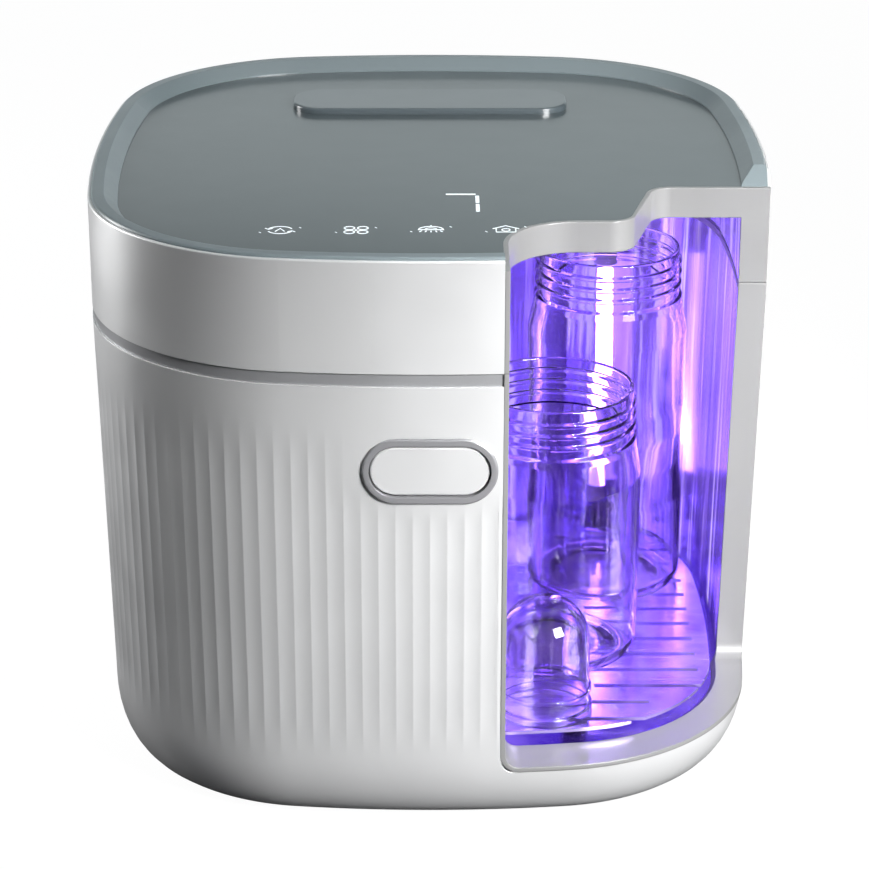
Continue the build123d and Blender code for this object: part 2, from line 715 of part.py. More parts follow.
def teat_cover():
    """Domed cover, open below."""
    x, y, radius, height = TEAT_COVER
    barrel = height - radius
    shell = Cylinder(radius, barrel, align=(Align.CENTER, Align.CENTER, Align.MIN))
    shell += Pos(0, 0, barrel) * Sphere(radius)
    inner = radius - 1.6
    shell -= Cylinder(inner, barrel, align=(Align.CENTER, Align.CENTER, Align.MIN))
    shell -= Pos(0, 0, barrel) * Sphere(inner)
    below = Pos(0, 0, -50) * Box(100, 100, 100)
    return Pos(x, y, RACK_TOP) * (shell - below)


# ---- write one file per node --------------------------------------------------------------
MAKERS = [
    outer_casing, seam_band, top_collar, lid_gasket, chamber_liner, body_section_trim, base_plate,
    rubber_feet, base_screws, rear_frame, button_bezel, release_button, button_springs,
    latch_bracket, latch_pin, latch_lever, drying_rack, rack_pads, air_grille, temperature_probe,
    rear_lamps, rear_lamp_sockets, fan_housing, fan_impeller, fan_motor, air_duct, heater_element,
    air_filter, filter_cover, power_board, power_inlet, lid_sensor, hinge_brackets, hinge_pins,
    lid_hinge_leaves, lid_shell, lid_rim, lid_panel, lid_vent_bar, lid_liner, lid_catch,
    lid_section_trim, lid_lamp, lid_lamp_sockets, touch_board, light_guides, display_module,
    lid_magnet, lid_screws, teat_cover,
]
for maker in MAKERS:
    parts[maker.__name__] = maker()
for name, spec in BOTTLES.items():
    parts[name] = bottle(spec)

os.makedirs("parts", exist_ok=True)
for name, solid in parts.items():
    export_step(solid, os.path.join("parts", name + ".step"))
    print(name, len(solid.solids()), round(solid.volume))
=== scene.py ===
import json
import math
from collections import namedtuple

import bpy
from mathutils import Matrix, Vector

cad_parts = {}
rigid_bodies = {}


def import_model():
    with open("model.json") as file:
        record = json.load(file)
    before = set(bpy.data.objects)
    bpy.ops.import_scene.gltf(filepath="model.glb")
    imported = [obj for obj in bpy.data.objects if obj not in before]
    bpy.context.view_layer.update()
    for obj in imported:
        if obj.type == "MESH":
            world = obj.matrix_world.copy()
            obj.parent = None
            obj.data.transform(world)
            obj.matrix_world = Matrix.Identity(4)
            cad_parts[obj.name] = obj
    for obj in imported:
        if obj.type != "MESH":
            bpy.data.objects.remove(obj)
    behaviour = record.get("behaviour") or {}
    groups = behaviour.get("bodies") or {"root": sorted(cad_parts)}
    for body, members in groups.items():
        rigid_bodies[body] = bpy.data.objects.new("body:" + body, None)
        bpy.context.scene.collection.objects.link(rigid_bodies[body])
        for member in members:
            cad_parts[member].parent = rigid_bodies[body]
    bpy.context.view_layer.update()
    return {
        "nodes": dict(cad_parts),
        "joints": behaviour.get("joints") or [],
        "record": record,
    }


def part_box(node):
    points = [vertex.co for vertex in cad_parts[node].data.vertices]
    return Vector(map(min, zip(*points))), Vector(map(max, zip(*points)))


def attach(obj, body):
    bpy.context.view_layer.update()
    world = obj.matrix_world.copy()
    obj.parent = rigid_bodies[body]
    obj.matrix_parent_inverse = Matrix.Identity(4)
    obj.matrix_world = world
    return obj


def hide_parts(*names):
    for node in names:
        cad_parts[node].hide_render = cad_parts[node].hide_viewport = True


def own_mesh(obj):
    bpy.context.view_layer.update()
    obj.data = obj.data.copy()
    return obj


# Looks of the bottle sterilizer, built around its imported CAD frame.
# Metres; the front is -Y, +X is to the right of someone facing it, Z = 0 is the surface it stands on.

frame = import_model()
nodes = frame["nodes"]
joints = {joint["name"]: joint for joint in frame["joints"]}
MM = 0.001

# ---- dimensions that the looks share with the frame ----------------------------------------
Plan = namedtuple("Plan", "half_width half_depth end_radius side_radius corner_radius")
CASE = Plan(0.140, 0.1525, 0.478, 0.660, 0.091)
CASE_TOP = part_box("outer_casing")[1].z
CASE_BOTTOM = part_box("outer_casing")[0].z
CASE_WALL = 2.4 * MM
CASE_TAPER = 3.9 * MM
LID_PANEL_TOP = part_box("lid_panel")[1].z
RACK_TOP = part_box("drying_rack")[1].z
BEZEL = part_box("button_bezel")
BUTTON_CENTRE = (BEZEL[0] + BEZEL[1]) / 2
BEZEL_SIZE = (52.4 * MM, 27.2 * MM)

# Foot of the casing: how far its edge draws in and rises, and the inset of the opening below.
BASE_EDGE = 16 * MM
BASE_EDGE_RISE = 30 * MM
BASE_OPENING = 27.9 * MM

# Openings in the casing: how far the cutters reach through its front and rear walls.
FRONT_CUT = (-160 * MM, -140 * MM)
REAR_CUT = (130 * MM, 160 * MM)
OPENING_GAP = 0.5 * MM
LOUVRE_SIZE = (44 * MM, 3 * MM)
LOUVRE_X = 58 * MM
LOUVRE_LEVELS = [(70 + 7 * row) * MM for row in range(6)]
HINGE_CENTRES = (-48 * MM, 48 * MM)
HINGE_HALF_SPAN = 19 * MM
HINGE_RELIEF = 4.8 * MM
HINGE_ARM_OFFSET = 12.65 * MM
HINGE_ARM_HALF = 4.9 * MM
HINGE_ARM_LEVELS = (188 * MM, 193 * MM)

# Flutes: a ring of shallow scallops that meet in sharp ridges.
FLUTE_PITCH = 6.7 * MM
FLUTE_DEPTH = 0.26 * MM
FLUTE_STEPS = (0.0, 0.05, 0.16, 0.33, 0.5, 0.67, 0.84, 0.95)
FLUTE_FULL_BELOW = 158 * MM
FLUTE_GONE_ABOVE = 176 * MM
FLUTE_FULL_ABOVE = 50 * MM
FLUTE_GONE_BELOW = 31 * MM

# The section cut, as grown by the trim that lines it.
SECTION_PATH = [(28, -200), (28, -88.5), (78.2, -88.5), (89.6, -43.2), (200, -43.2), (200, -200)]
SECTION_RADII = (0, 30, 9, 11, 0, 0)
SECTION_LEDGE = 25 * MM
SECTION_LEDGE_RADIUS = 8 * MM
SECTION_TOP = 270 * MM
BEYOND_CASE = 190 * MM


# ---- geometry helpers ----------------------------------------------------------------------
def quarter_arcs(plan):
    """The side, corner and end arcs of a quarter of the plan, each (centre, radius, start, stop)."""
    side_centre = Vector((plan.half_width - plan.side_radius, 0))
    end_centre = Vector((0, plan.half_depth - plan.end_radius))
    to_side = plan.side_radius - plan.corner_radius
    to_end = plan.end_radius - plan.corner_radius
    span = side_centre - end_centre
    along = (span.length**2 + to_end**2 - to_side**2) / (2 * span.length)
    across = math.sqrt(to_end**2 - along**2)
    unit = span.normalized()
    corner = end_centre + unit * along + Vector((unit.y, -unit.x)) * across
    first = math.atan2(corner.y - side_centre.y, corner.x - side_centre.x)
    second = math.atan2(corner.y - end_centre.y, corner.x - end_centre.x)
    return [
        (side_centre, plan.side_radius, 0.0, first),
        (corner, plan.corner_radius, first, second),
        (end_centre, plan.end_radius, second, math.pi / 2),
    ]


def outline(plan, fractions):
    """(point, outward normal) at each fraction of the way round, anticlockwise from +X."""
    arcs = quarter_arcs(plan)
    lengths = [radius * (stop - start) for _, radius, start, stop in arcs]
    quarter = sum(lengths)
    found = []
    for fraction in fractions:
        index, along = divmod((fraction % 1.0) * 4 * quarter, quarter)
        if index % 2:
            along = quarter - along
        for (centre, radius, start, _), length in zip(arcs, lengths):
            if along <= length + 1e-9:
                break
            along -= length
        angle = start + along / radius
        normal = Vector((math.cos(angle), math.sin(angle)))
        point = centre + normal * radius
        signs = ((1, 1), (-1, 1), (-1, -1), (1, -1))[int(index) % 4]
        found.append((
            Vector((point.x * signs[0], point.y * signs[1])),
            Vector((normal.x * signs[0], normal.y * signs[1])),
        ))
    return found


def perimeter(plan):
    return 4 * sum(radius * (stop - start) for _, radius, start, stop in quarter_arcs(plan))


def rounded(points, radii, steps=8, closed=False):
    """A path in two dimensions with its corners turned into arcs."""
    count = len(points)
    path = []
    for i, (point, radius) in enumerate(zip(points, radii)):
        here = Vector(point)
        if radius == 0 or (not closed and i in (0, count - 1)):
            path.append(here)
            continue
        before = (Vector(points[i - 1]) - here).normalized()
        after = (Vector(points[(i + 1) % count]) - here).normalized()
        half = before.angle(after) / 2
        centre = here + (before + after).normalized() * (radius / math.sin(half))
        start = here + before * (radius / math.tan(half)) - centre
        stop = here + after * (radius / math.tan(half)) - centre
        turn = start.angle_signed(stop)
        for step in range(steps + 1):
            angle = -turn * step / steps
            path.append(centre + Matrix.Rotation(angle, 2) @ start)
    return path


def smoothstep(value, low, high):
    share = min(max((value - low) / (high - low), 0.0), 1.0)
    return share * share * (3 - 2 * share)


def new_object(name, verts, faces, angle=32.0):
    """Mesh object, shaded smooth except across edges sharper than angle, in degrees."""
    mesh = bpy.data.meshes.new(name)
    mesh.from_pydata([tuple(v) for v in verts], [], faces)
    mesh.update()
    mesh.shade_smooth()
    mesh.set_sharp_from_angle(angle=math.radians(angle))
    made = bpy.data.objects.new(name, mesh)
    bpy.context.scene.collection.objects.link(made)
    return made


def from_rings(name, rings, looped=False, caps=False, angle=32.0):
    """Skin over rings of equal length. looped joins the last to the first; caps closes both ends."""
    count = len(rings[0])
    verts = [point for ring in rings for point in ring]
    faces = []
    for r in range(len(rings) if looped else len(rings) - 1):
        low, high = r * count, ((r + 1) % len(rings)) * count
        for i in range(count):
            j = (i + 1) % count
            faces.append((low + i, low + j, high + j, high + i))
    if caps:
        faces.append(tuple(reversed(range(count))))
        faces.append(tuple(range(len(verts) - count, len(verts))))
    return new_object(name, verts, faces, angle)


def lathe(name, profile, centre, segments=112, angle=40.0):
    """A closed profile of (radius, z) points turned about an upright axis; it may touch the axis."""
    verts, faces, rows = [], [], []
    for radius, z in profile:
        if radius < 1e-6:
            rows.append([len(verts)] * segments)
            verts.append((centre[0], centre[1], z))
            continue
        rows.append(list(range(len(verts), len(verts) + segments)))
        for i in range(segments):
            turn = math.tau * i / segments
            spot = (centre[0] + radius * math.cos(turn), centre[1] + radius * math.sin(turn), z)
            verts.append(spot)
    for low, high in zip(rows, rows[1:] + rows[:1]):
        for i in range(segments):
            j = (i + 1) % segments
            face = [low[i], low[j], high[j], high[i]]
            face = [v for k, v in enumerate(face) if v not in face[:k]]
            if len(face) > 2:
                faces.append(face)
    return new_object(name, verts, faces, angle)


def prism(name, path, low, high, axis="z"):
    """Straight prism over a path drawn in XY, or in XZ and run along Y."""
    if axis == "z":
        rings = [[(p[0], p[1], level) for p in path] for level in (low, high)]
    else:
        rings = [[(p[0], level, p[1]) for p in path] for level in (high, low)]
    return from_rings(name, rings, caps=True)


def pill(width, height, x, z, steps=14):
    """Outline of a pill shape in XZ, anticlockwise seen from the front."""
    radius = height / 2
    half = width / 2 - radius
    path = []
    for side, start in ((1, -math.pi / 2), (-1, math.pi / 2)):
        for step in range(steps + 1):
            turn = start + math.pi * step / steps
            path.append((x + side * half + radius * math.cos(turn), z + radius * math.sin(turn)))
    return path


def rectangle(x0, x1, z0, z1):
    return [(x0, z0), (x1, z0), (x1, z1), (x0, z1)]


def carve(piece, cutters):
    """Takes the cutters' volume out of piece and deletes them."""
    tools = bpy.data.collections.new("cutters")
    for cutter in cutters:
        bpy.context.scene.collection.objects.unlink(cutter)
        tools.objects.link(cutter)
    cut = piece.modifiers.new("cut", "BOOLEAN")
    cut.operation = "DIFFERENCE"
    cut.solver = "EXACT"
    cut.operand_type = "COLLECTION"
    cut.collection = tools
    bpy.context.view_layer.update()
    shown = piece.evaluated_get(bpy.context.evaluated_depsgraph_get())
    result = bpy.data.meshes.new_from_object(shown)
    piece.modifiers.clear()
    piece.data = result
    for cutter in list(tools.objects):
        bpy.data.objects.remove(cutter)
    bpy.data.collections.remove(tools)
    return piece


def section_cutter():
    """The volume that the section removes, with the round edge of its ledge."""
    corners = [(x * MM, y * MM) for x, y in SECTION_PATH]
    path = rounded(corners, [radius * MM for radius in SECTION_RADII], 10, True)
    count = len(path)
    steps = 6
    rings = []
    for step in range(steps + 1):
        turn = math.radians(90 - 90 * step / steps)
        inset = SECTION_LEDGE_RADIUS * (1 - math.cos(turn))
        z = SECTION_LEDGE + SECTION_LEDGE_RADIUS * (1 - math.sin(turn))
        ring = []
        for i, point in enumerate(path):
            along = (path[(i + 1) % count] - path[i - 1]).normalized()
            far = point.x > BEYOND_CASE or point.y < -BEYOND_CASE
            shift = Vector((0, 0)) if far else Vector((-along.y, along.x)) * -inset
            ring.append((point.x + shift.x, point.y + shift.y, z))
        rings.append(ring)
    rings.append([(p.x, p.y, SECTION_TOP) for p in path])
    made = from_rings("section_cutter", rings, caps=True)
    made.data.flip_normals()
    return made


# ---- material helpers ----------------------------------------------------------------------
class Shader:
    """One node material, with short calls for the nodes used here."""

    def __init__(self, name, sockets):
        self.material = bpy.data.materials.new(name)
        self.material.use_nodes = True
        self.tree = self.material.node_tree
        self.bsdf = self.tree.nodes["Principled BSDF"]
        for socket, value in sockets.items():
            if socket in ("Base Color", "Emission Color", "Coat Tint") and len(value) == 3:
                value = (*value, 1.0)
            self.bsdf.inputs[socket].default_value = value

    def node(self, kind, values=None, **settings):
        made = self.tree.nodes.new(kind)
        for key, value in settings.items():
            setattr(made, key, value)
        for socket, value in (values or {}).items():
            made.inputs[socket].default_value = value
        return made

    def link(self, source, target):
        self.tree.links.new(source, target)

    def place(self, scale=(1, 1, 1)):
        """Coordinates in metres in the shared frame, stretched by scale."""
        coords = self.node("ShaderNodeTexCoord")
        mapping = self.node("ShaderNodeMapping")
        mapping.inputs["Scale"].default_value = scale
        self.link(coords.outputs["Object"], mapping.inputs["Vector"])
        return mapping.outputs["Vector"]

    def noise(self, scale, detail=3.0, stretch=(1, 1, 1), roughness=0.5):
        made = self.node("ShaderNodeTexNoise", {"Scale": scale, "Detail": detail, "Roughness": roughness})
        self.link(self.place(stretch), made.inputs["Vector"])
        return made.outputs["Fac"]

    def ramp(self, factor, stops):
        made = self.node("ShaderNodeValToRGB")
        elements = made.color_ramp.elements
        while len(elements) < len(stops):
            elements.new(0.5)
        for element, (position, colour) in zip(elements, stops):
            element.position = position
            element.color = (*colour, 1.0)
        self.link(factor, made.inputs["Fac"])
        return made.outputs["Color"]

    def remap(self, factor, low, high, from_low=0.3, from_high=0.7):
        made = self.node("ShaderNodeMapRange", {
            "From Min": from_low, "From Max": from_high, "To Min": low, "To Max": high})
        self.link(factor, made.inputs["Value"])
        return made.outputs["Result"]

    def bump(self, height, distance, strength=1.0, edge=0.0):
        """Surface relief; edge rounds the look of sharp corners by that radius."""
        made = self.node("ShaderNodeBump", {"Distance": distance, "Strength": strength})
        self.link(height, made.inputs["Height"])
        if edge:
            bevel = self.node("ShaderNodeBevel", {"Radius": edge}, samples=4)
            self.link(bevel.outputs["Normal"], made.inputs["Normal"])
        self.link(made.outputs["Normal"], self.bsdf.inputs["Normal"])

    def use(self, output, socket):
        self.link(output, self.bsdf.inputs[socket])


def tinted(colour, factor):
    return tuple(channel * factor for channel in colour)


def moulded(name, colour, roughness, edge=0.35 * MM, grain=0.02 * MM, coat=0.0, metallic=0.0):
    """Moulded plastic with a fine grain and softened corners; metallic gives it a pearl finish."""
    shader = Shader(name, {
        "Base Color": colour, "Metallic": metallic, "Coat Weight": coat, "Coat Roughness": 0.12})
    cloud = shader.noise(38.0, 4.0)
    shader.use(shader.remap(cloud, roughness - 0.05, roughness + 0.05), "Roughness")
    tone = shader.ramp(shader.noise(14.0, 2.0), [(0.3, tinted(colour, 0.975)), (0.7, colour)])
    shader.use(tone, "Base Color")
    shader.bump(shader.noise(2600.0, 2.0), grain, 0.35, edge)
    return shader.material


def metal(name, colour, roughness, stretch=(1, 1, 1), scale=400.0, grain=0.02 * MM, edge=0.2 * MM):
    """Metal with brushing or rolling marks along the axis that stretch makes long."""
    shader = Shader(name, {"Base Color": colour, "Metallic": 1.0})
    marks = shader.noise(scale, 4.0, stretch)
    shader.use(shader.remap(marks, roughness * 0.75, roughness * 1.3), "Roughness")
    shader.use(shader.ramp(marks, [(0.3, tinted(colour, 0.86)), (0.7, colour)]), "Base Color")
    shader.bump(marks, grain, 0.4, edge)
    return shader.material


def make_mirror_steel(name="mirror_steel", stretch=(1, 1, 0.03)):
    """Polished liner with painted violet light: a violet base tint, and an emitted glow in streaks with
    near-white painted highlights, brighter above the rack.
    """
    # Painted light: the violet base tint stands in for the violet lamp light that the steel reflects.
    shader = Shader(name, {"Base Color": (0.60, 0.52, 0.88), "Metallic": 1.0})
    streaks = shader.noise(150.0, 5.0, stretch, 0.62)
    fine = shader.noise(420.0, 3.0, (1, 1, 0.02))
    shader.use(shader.remap(fine, 0.10, 0.24), "Roughness")
    # Painted light: this emitted ramp paints violet streaks and near-white highlights in place of the lamps'
    # light on the steel.
    glow = shader.ramp(streaks, [
        (0.40, (0.003, 0.001, 0.02)), (0.49, (0.06, 0.026, 0.22)),
        (0.56, (0.24, 0.13, 0.66)), (0.63, (0.95, 0.80, 1.0)),
    ])
    height = shader.node("ShaderNodeSeparateXYZ")
    shader.link(shader.place(), height.inputs["Vector"])
    # Painted light: the emitted streaks are masked to show only from the rack up.
    lit = shader.remap(height.outputs["Z"], 0.0, 1.0, RACK_TOP - 3 * MM, RACK_TOP + 1 * MM)
    painted_glow_colour = shader.node("ShaderNodeVectorMath", operation="MULTIPLY")
    shader.link(glow, painted_glow_colour.inputs[0])
    shader.link(lit, painted_glow_colour.inputs[1])
    shader.use(painted_glow_colour.outputs["Vector"], "Emission Color")
    shader.bsdf.inputs["Emission Strength"].default_value = 0.5
    shader.bump(streaks, 0.25 * MM, 0.5)
    return shader.material


def make_rack_steel():
    """Brushed floor rack with painted violet light: a violet base tint, and an emitted glow in soft patchy
    spots.
    """
    # Painted light: the violet base tint stands in for the violet lamp light.
    shader = Shader("rack_steel", {"Base Color": (0.58, 0.48, 0.88), "Metallic": 1.0})
    marks = shader.noise(260.0, 4.0, (0.06, 1, 1))
    shader.use(shader.remap(marks, 0.12, 0.28), "Roughness")
    # Painted light: emitted violet spots stand in for the lamps' light on the rack.
    painted_glow_patches = shader.ramp(shader.noise(26.0, 3.0), [
        (0.36, (0.03, 0.01, 0.16)), (0.50, (0.16, 0.08, 0.55)), (0.66, (0.50, 0.34, 0.95))])
    shader.use(painted_glow_patches, "Emission Color")
    shader.bsdf.inputs["Emission Strength"].default_value = 0.5
    shader.bump(marks, 0.03 * MM, 0.4, 0.4 * MM)
    return shader.material


def make_lamp_glow():
    """Violet discharge tube with soft bright bands."""
    shader = Shader("uv_glow", {
        "Base Color": (0.55, 0.42, 1.0), "Roughness": 0.12, "Emission Strength": 2.4})
    bands = shader.ramp(shader.noise(60.0, 2.0, (1, 1, 0.3)), [
        (0.3, (0.30, 0.13, 1.0)), (0.7, (0.60, 0.42, 1.0))])
    shader.use(bands, "Emission Color")
    return shader.material


def make_panel_glass(name="panel_glass", colour=(0.063, 0.083, 0.089), coat_roughness=0.16):
    """Dark grey glass with a faint cloud in its tone."""
    shader = Shader(name, {
        "Base Color": colour, "Coat Weight": 1.0, "Coat Roughness": coat_roughness, "Coat IOR": 1.45})
    tone = shader.ramp(shader.noise(9.0, 2.0), [(0.35, tinted(colour, 0.97)), (0.65, colour)])
    shader.use(tone, "Base Color")
    shader.use(shader.remap(shader.noise(60.0, 3.0), 0.34, 0.36), "Roughness")
    shader.bump(shader.noise(900.0, 2.0), 0.003 * MM, 0.1, 0.3 * MM)
    return shader.material


def make_clear():
    """Clear bottle plastic with a slight wave in its surface."""
    shader = Shader("clear_bottle", {
        "Base Color": (0.93, 0.90, 1.0), "Transmission Weight": 1.0, "IOR": 1.46, "Coat Weight": 0.3})
    shader.use(shader.remap(shader.noise(120.0, 3.0), 0.01, 0.05), "Roughness")
    shader.bump(shader.noise(55.0, 3.0), 0.05 * MM, 0.5)
    return shader.material


def make_indicator():
    """Lit white marks on the panel."""
    shader = Shader("indicator", {"Base Color": (0.3, 0.34, 0.36), "Emission Strength": 0.85})
    soft = shader.ramp(shader.noise(700.0, 2.0), [(0.3, (0.86, 0.95, 1.0)), (0.7, (1.0, 1.0, 1.0))])
    shader.use(soft, "Emission Color")
    return shader.material


def make_circuit_board():
    """Green solder mask with copper runs."""
    shader = Shader("circuit_board", {"Base Color": (0.02, 0.14, 0.06), "Coat Weight": 0.5})
    bricks = shader.node("ShaderNodeTexBrick", {
        "Scale": 90.0, "Mortar Size": 0.03, "Color1": (0.015, 0.12, 0.05, 1),
        "Color2": (0.02, 0.15, 0.07, 1), "Mortar": (0.10, 0.30, 0.12, 1)})
    shader.link(shader.place(), bricks.inputs["Vector"])
    shader.use(bricks.outputs["Color"], "Base Color")
    shader.bump(bricks.outputs["Fac"], 0.05 * MM, 0.5, 0.2 * MM)
    return shader.material


def make_filter_paper():
    """Fibrous paper, with its fibres upright."""
    shader = Shader("filter_paper", {"Base Color": (0.78, 0.78, 0.72), "Roughness": 0.9})
    fibres = shader.noise(900.0, 5.0, (1, 1, 0.2))
    shader.use(shader.ramp(fibres, [(0.3, (0.66, 0.66, 0.60)), (0.7, (0.84, 0.84, 0.79))]), "Base Color")
    shader.bump(fibres, 0.08 * MM, 0.7)
    return shader.material


MATERIALS = {
    "white_casing": moulded(
        "white_casing", (0.82, 0.825, 0.83), 0.40, grain=0.012 * MM, coat=0.1, metallic=0.45),
    "seam_grey": moulded("seam_grey", (0.42, 0.425, 0.44), 0.38, metallic=0.5),
    "collar_white": moulded("collar_white", (0.74, 0.75, 0.77), 0.5),
    "silicone": moulded("silicone", (0.62, 0.63, 0.66), 0.55, edge=0.5 * MM),
    # Painted light: both liner steels and the rack carry a violet tint and an emitted glow that stand in for
    # the lamps' light.
    "mirror_steel": make_mirror_steel(),
    "lid_steel": make_mirror_steel("lid_steel", (0.1, 1, 0.05)),
    "rack_steel": make_rack_steel(),
    "section_grey": moulded(
        "section_grey", (0.32, 0.32, 0.322), 0.36, edge=0.8 * MM, coat=0.2, metallic=0.3),
    "rubber": moulded("rubber", (0.035, 0.035, 0.04), 0.75, grain=0.05 * MM),
    "steel": metal("steel", (0.60, 0.61, 0.63), 0.30),
    "satin_grey": moulded("satin_grey", (0.31, 0.31, 0.325), 0.34, edge=0.5 * MM, coat=0.2, metallic=0.35),
    "nylon_black": moulded("nylon_black", (0.03, 0.03, 0.034), 0.5),
    "lamp_socket": moulded("lamp_socket", (0.74, 0.73, 0.80), 0.45),
    "uv_glow": make_lamp_glow(),
    "heater": metal("heater", (0.72, 0.72, 0.72), 0.35),
    "filter_paper": make_filter_paper(),
    "circuit_board": make_circuit_board(),
    "panel_glass": make_panel_glass(),
    # Painted highlight: a lighter copy of the panel glass, so the vent bar reads brighter as if its front
    # edge caught the light.
    "bar_glass_painted_highlight": make_panel_glass("bar_glass_painted_highlight", (0.075, 0.095, 0.105), 0.08),
    # Painted reflection: the rim is the panel's dark grey, and its lighter base colour stands in for the
    # bright surround it reflects.
    "rim_teal": moulded("rim_teal", (0.19, 0.23, 0.245), 0.36, edge=0.4 * MM, coat=0.3),
    "indicator": make_indicator(),
    "magnet": metal("magnet", (0.42, 0.42, 0.44), 0.38),
    "clear_bottle": make_clear(),
}


def dress(name, material):
    """Gives a CAD node a material in all its slots."""
    node = nodes[name]
    if not node.material_slots:
        node.data.materials.append(material)
    for slot in node.material_slots:
        slot.material = material


def dress_frame():
    """The record's slot gives each CAD node its material, apart from three with a finish of their own."""
    for entry in frame["record"]["subparts"]:
        dress(entry["node"], MATERIALS[entry["material_slot"]])
    dress("drying_rack", MATERIALS["rack_steel"])
    # Painted highlight: the vent bar gets the lighter copy of the panel glass.
    dress("lid_vent_bar", MATERIALS["bar_glass_painted_highlight"])
    dress("lid_liner", MATERIALS["lid_steel"])


def finish_piece(piece, body, slot, replaced=()):
    """Material, body, record slot and the CAD nodes that a new piece stands for."""
    piece.data.materials.clear()
    piece.data.materials.append(MATERIALS[slot])
    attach(piece, body)
    if replaced:
        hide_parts(*replaced)
    return piece


# ---- fluted casing -------------------------------------------------------------------------
def case_inset(z):
    return CASE_TAPER * (1 - z / CASE_TOP)


def flute_depth(point, z):
    """How deep the flutes are here: they fade out near both ends and around the button."""
    upper = 1 - smoothstep(z, FLUTE_FULL_BELOW, FLUTE_GONE_ABOVE)
    lower = smoothstep(z, FLUTE_GONE_BELOW, FLUTE_FULL_ABOVE)
    depth = FLUTE_DEPTH * upper * lower
    if point.y < 0:
        across = point.x / (BEZEL_SIZE[0] / 2)
        up = (z - BUTTON_CENTRE.z) / (BEZEL_SIZE[1] / 2)
        depth *= smoothstep(math.hypot(across, up), 1.15, 1.75)
    return depth


def case_levels():
    """Outer levels, from the base edge up, closer together where the flutes fade."""
    top = CASE_TOP / MM
    spans = ((31, 51, 2.5), (51, 128, 13.0), (128, 178, 2.5), (178, top, 4.57))
    levels = []
    for low, high, step in spans:
        count = round((high - low) / step)
        levels += [(low + (high - low) * i / count) * MM for i in range(count)]
    return levels + [CASE_TOP]


def fluted_casing():
    """The outer casing as one closed shell, with its flutes, its soft foot and its openings."""
    flutes = round(perimeter(CASE) / FLUTE_PITCH)
    phases = [step for _ in range(flutes) for step in FLUTE_STEPS]
    fractions = [(i // len(FLUTE_STEPS) + phase) / flutes for i, phase in enumerate(phases)]
    spots = outline(CASE, fractions)

    def ring(inset, z, fluted=False):
        made = []
        for (point, normal), phase in zip(spots, phases):
            dip = flute_depth(point, z) * (1 - (2 * phase - 1) ** 2) if fluted else 0.0
            shift = inset + dip
            made.append((point.x - normal.x * shift, point.y - normal.y * shift, z))
        return made

    def edge(wall, steps=10):
        """The elliptical edge at the foot, from the wall down to the base."""
        centre_z = CASE_BOTTOM + BASE_EDGE_RISE
        for step in range(steps + 1):
            turn = math.pi / 2 * step / steps
            inset = case_inset(centre_z) + wall + (BASE_EDGE - wall) * (1 - math.cos(turn))
            yield inset, centre_z - (BASE_EDGE_RISE - wall) * math.sin(turn)

    rings = [ring(case_inset(z), z, True) for z in reversed(case_levels())]
    rings += [ring(inset, z) for inset, z in list(edge(0.0))[1:]]
    rings.append(ring(BASE_OPENING, CASE_BOTTOM))
    rings.append(ring(BASE_OPENING, CASE_BOTTOM + CASE_WALL))
    rings += [ring(inset, z) for inset, z in reversed(list(edge(CASE_WALL)))]
    rings.append(ring(case_inset(CASE_TOP) + CASE_WALL, CASE_TOP))
    casing = from_rings("fluted_casing", list(reversed(rings)), looped=True, angle=24.0)

    cutters = [section_cutter()]
    cutters.append(prism("cut_button", pill(*BEZEL_SIZE, 0, BUTTON_CENTRE.z), *FRONT_CUT, "y"))
    for name, gap in (("filter_cover", 2 * OPENING_GAP), ("power_inlet", OPENING_GAP)):
        low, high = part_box(name)
        opening = rectangle(low.x - gap, high.x + gap, low.z - gap, high.z + gap)
        cutters.append(prism("cut_" + name, opening, *REAR_CUT, "y"))
    for level in LOUVRE_LEVELS:
        cutters.append(prism("cut_vent", pill(*LOUVRE_SIZE, LOUVRE_X, level), *REAR_CUT, "y"))
    cutters += hinge_cutters()
    carve(casing, cutters)
    casing.data.set_sharp_from_angle(angle=math.radians(24.0))
    return finish_piece(casing, "base", "white_casing", ["outer_casing"])


def hinge_cutters():
    """Channels round the two hinges, and the notches that their arms pass through."""
    anchor = joints["lid_hinge"]["pos_m"]
    steps = 28
    made = []
    for x in HINGE_CENTRES:
        circle = []
        for step in range(steps):
            turn = math.tau * step / steps
            y = anchor[1] + HINGE_RELIEF * math.cos(turn)
            z = anchor[2] + HINGE_RELIEF * math.sin(turn)
            circle.append((y, z))
        rings = [[(level, y, z) for y, z in circle] for level in (x - HINGE_HALF_SPAN, x + HINGE_HALF_SPAN)]
        made.append(from_rings("cut_knuckle", rings, caps=True))
        for side in (-1, 1):
            arm = x + side * HINGE_ARM_OFFSET
            sides = rectangle(arm - HINGE_ARM_HALF, arm + HINGE_ARM_HALF, *HINGE_ARM_LEVELS)
            made.append(prism("cut_arm", sides, *REAR_CUT, "y"))
    return made


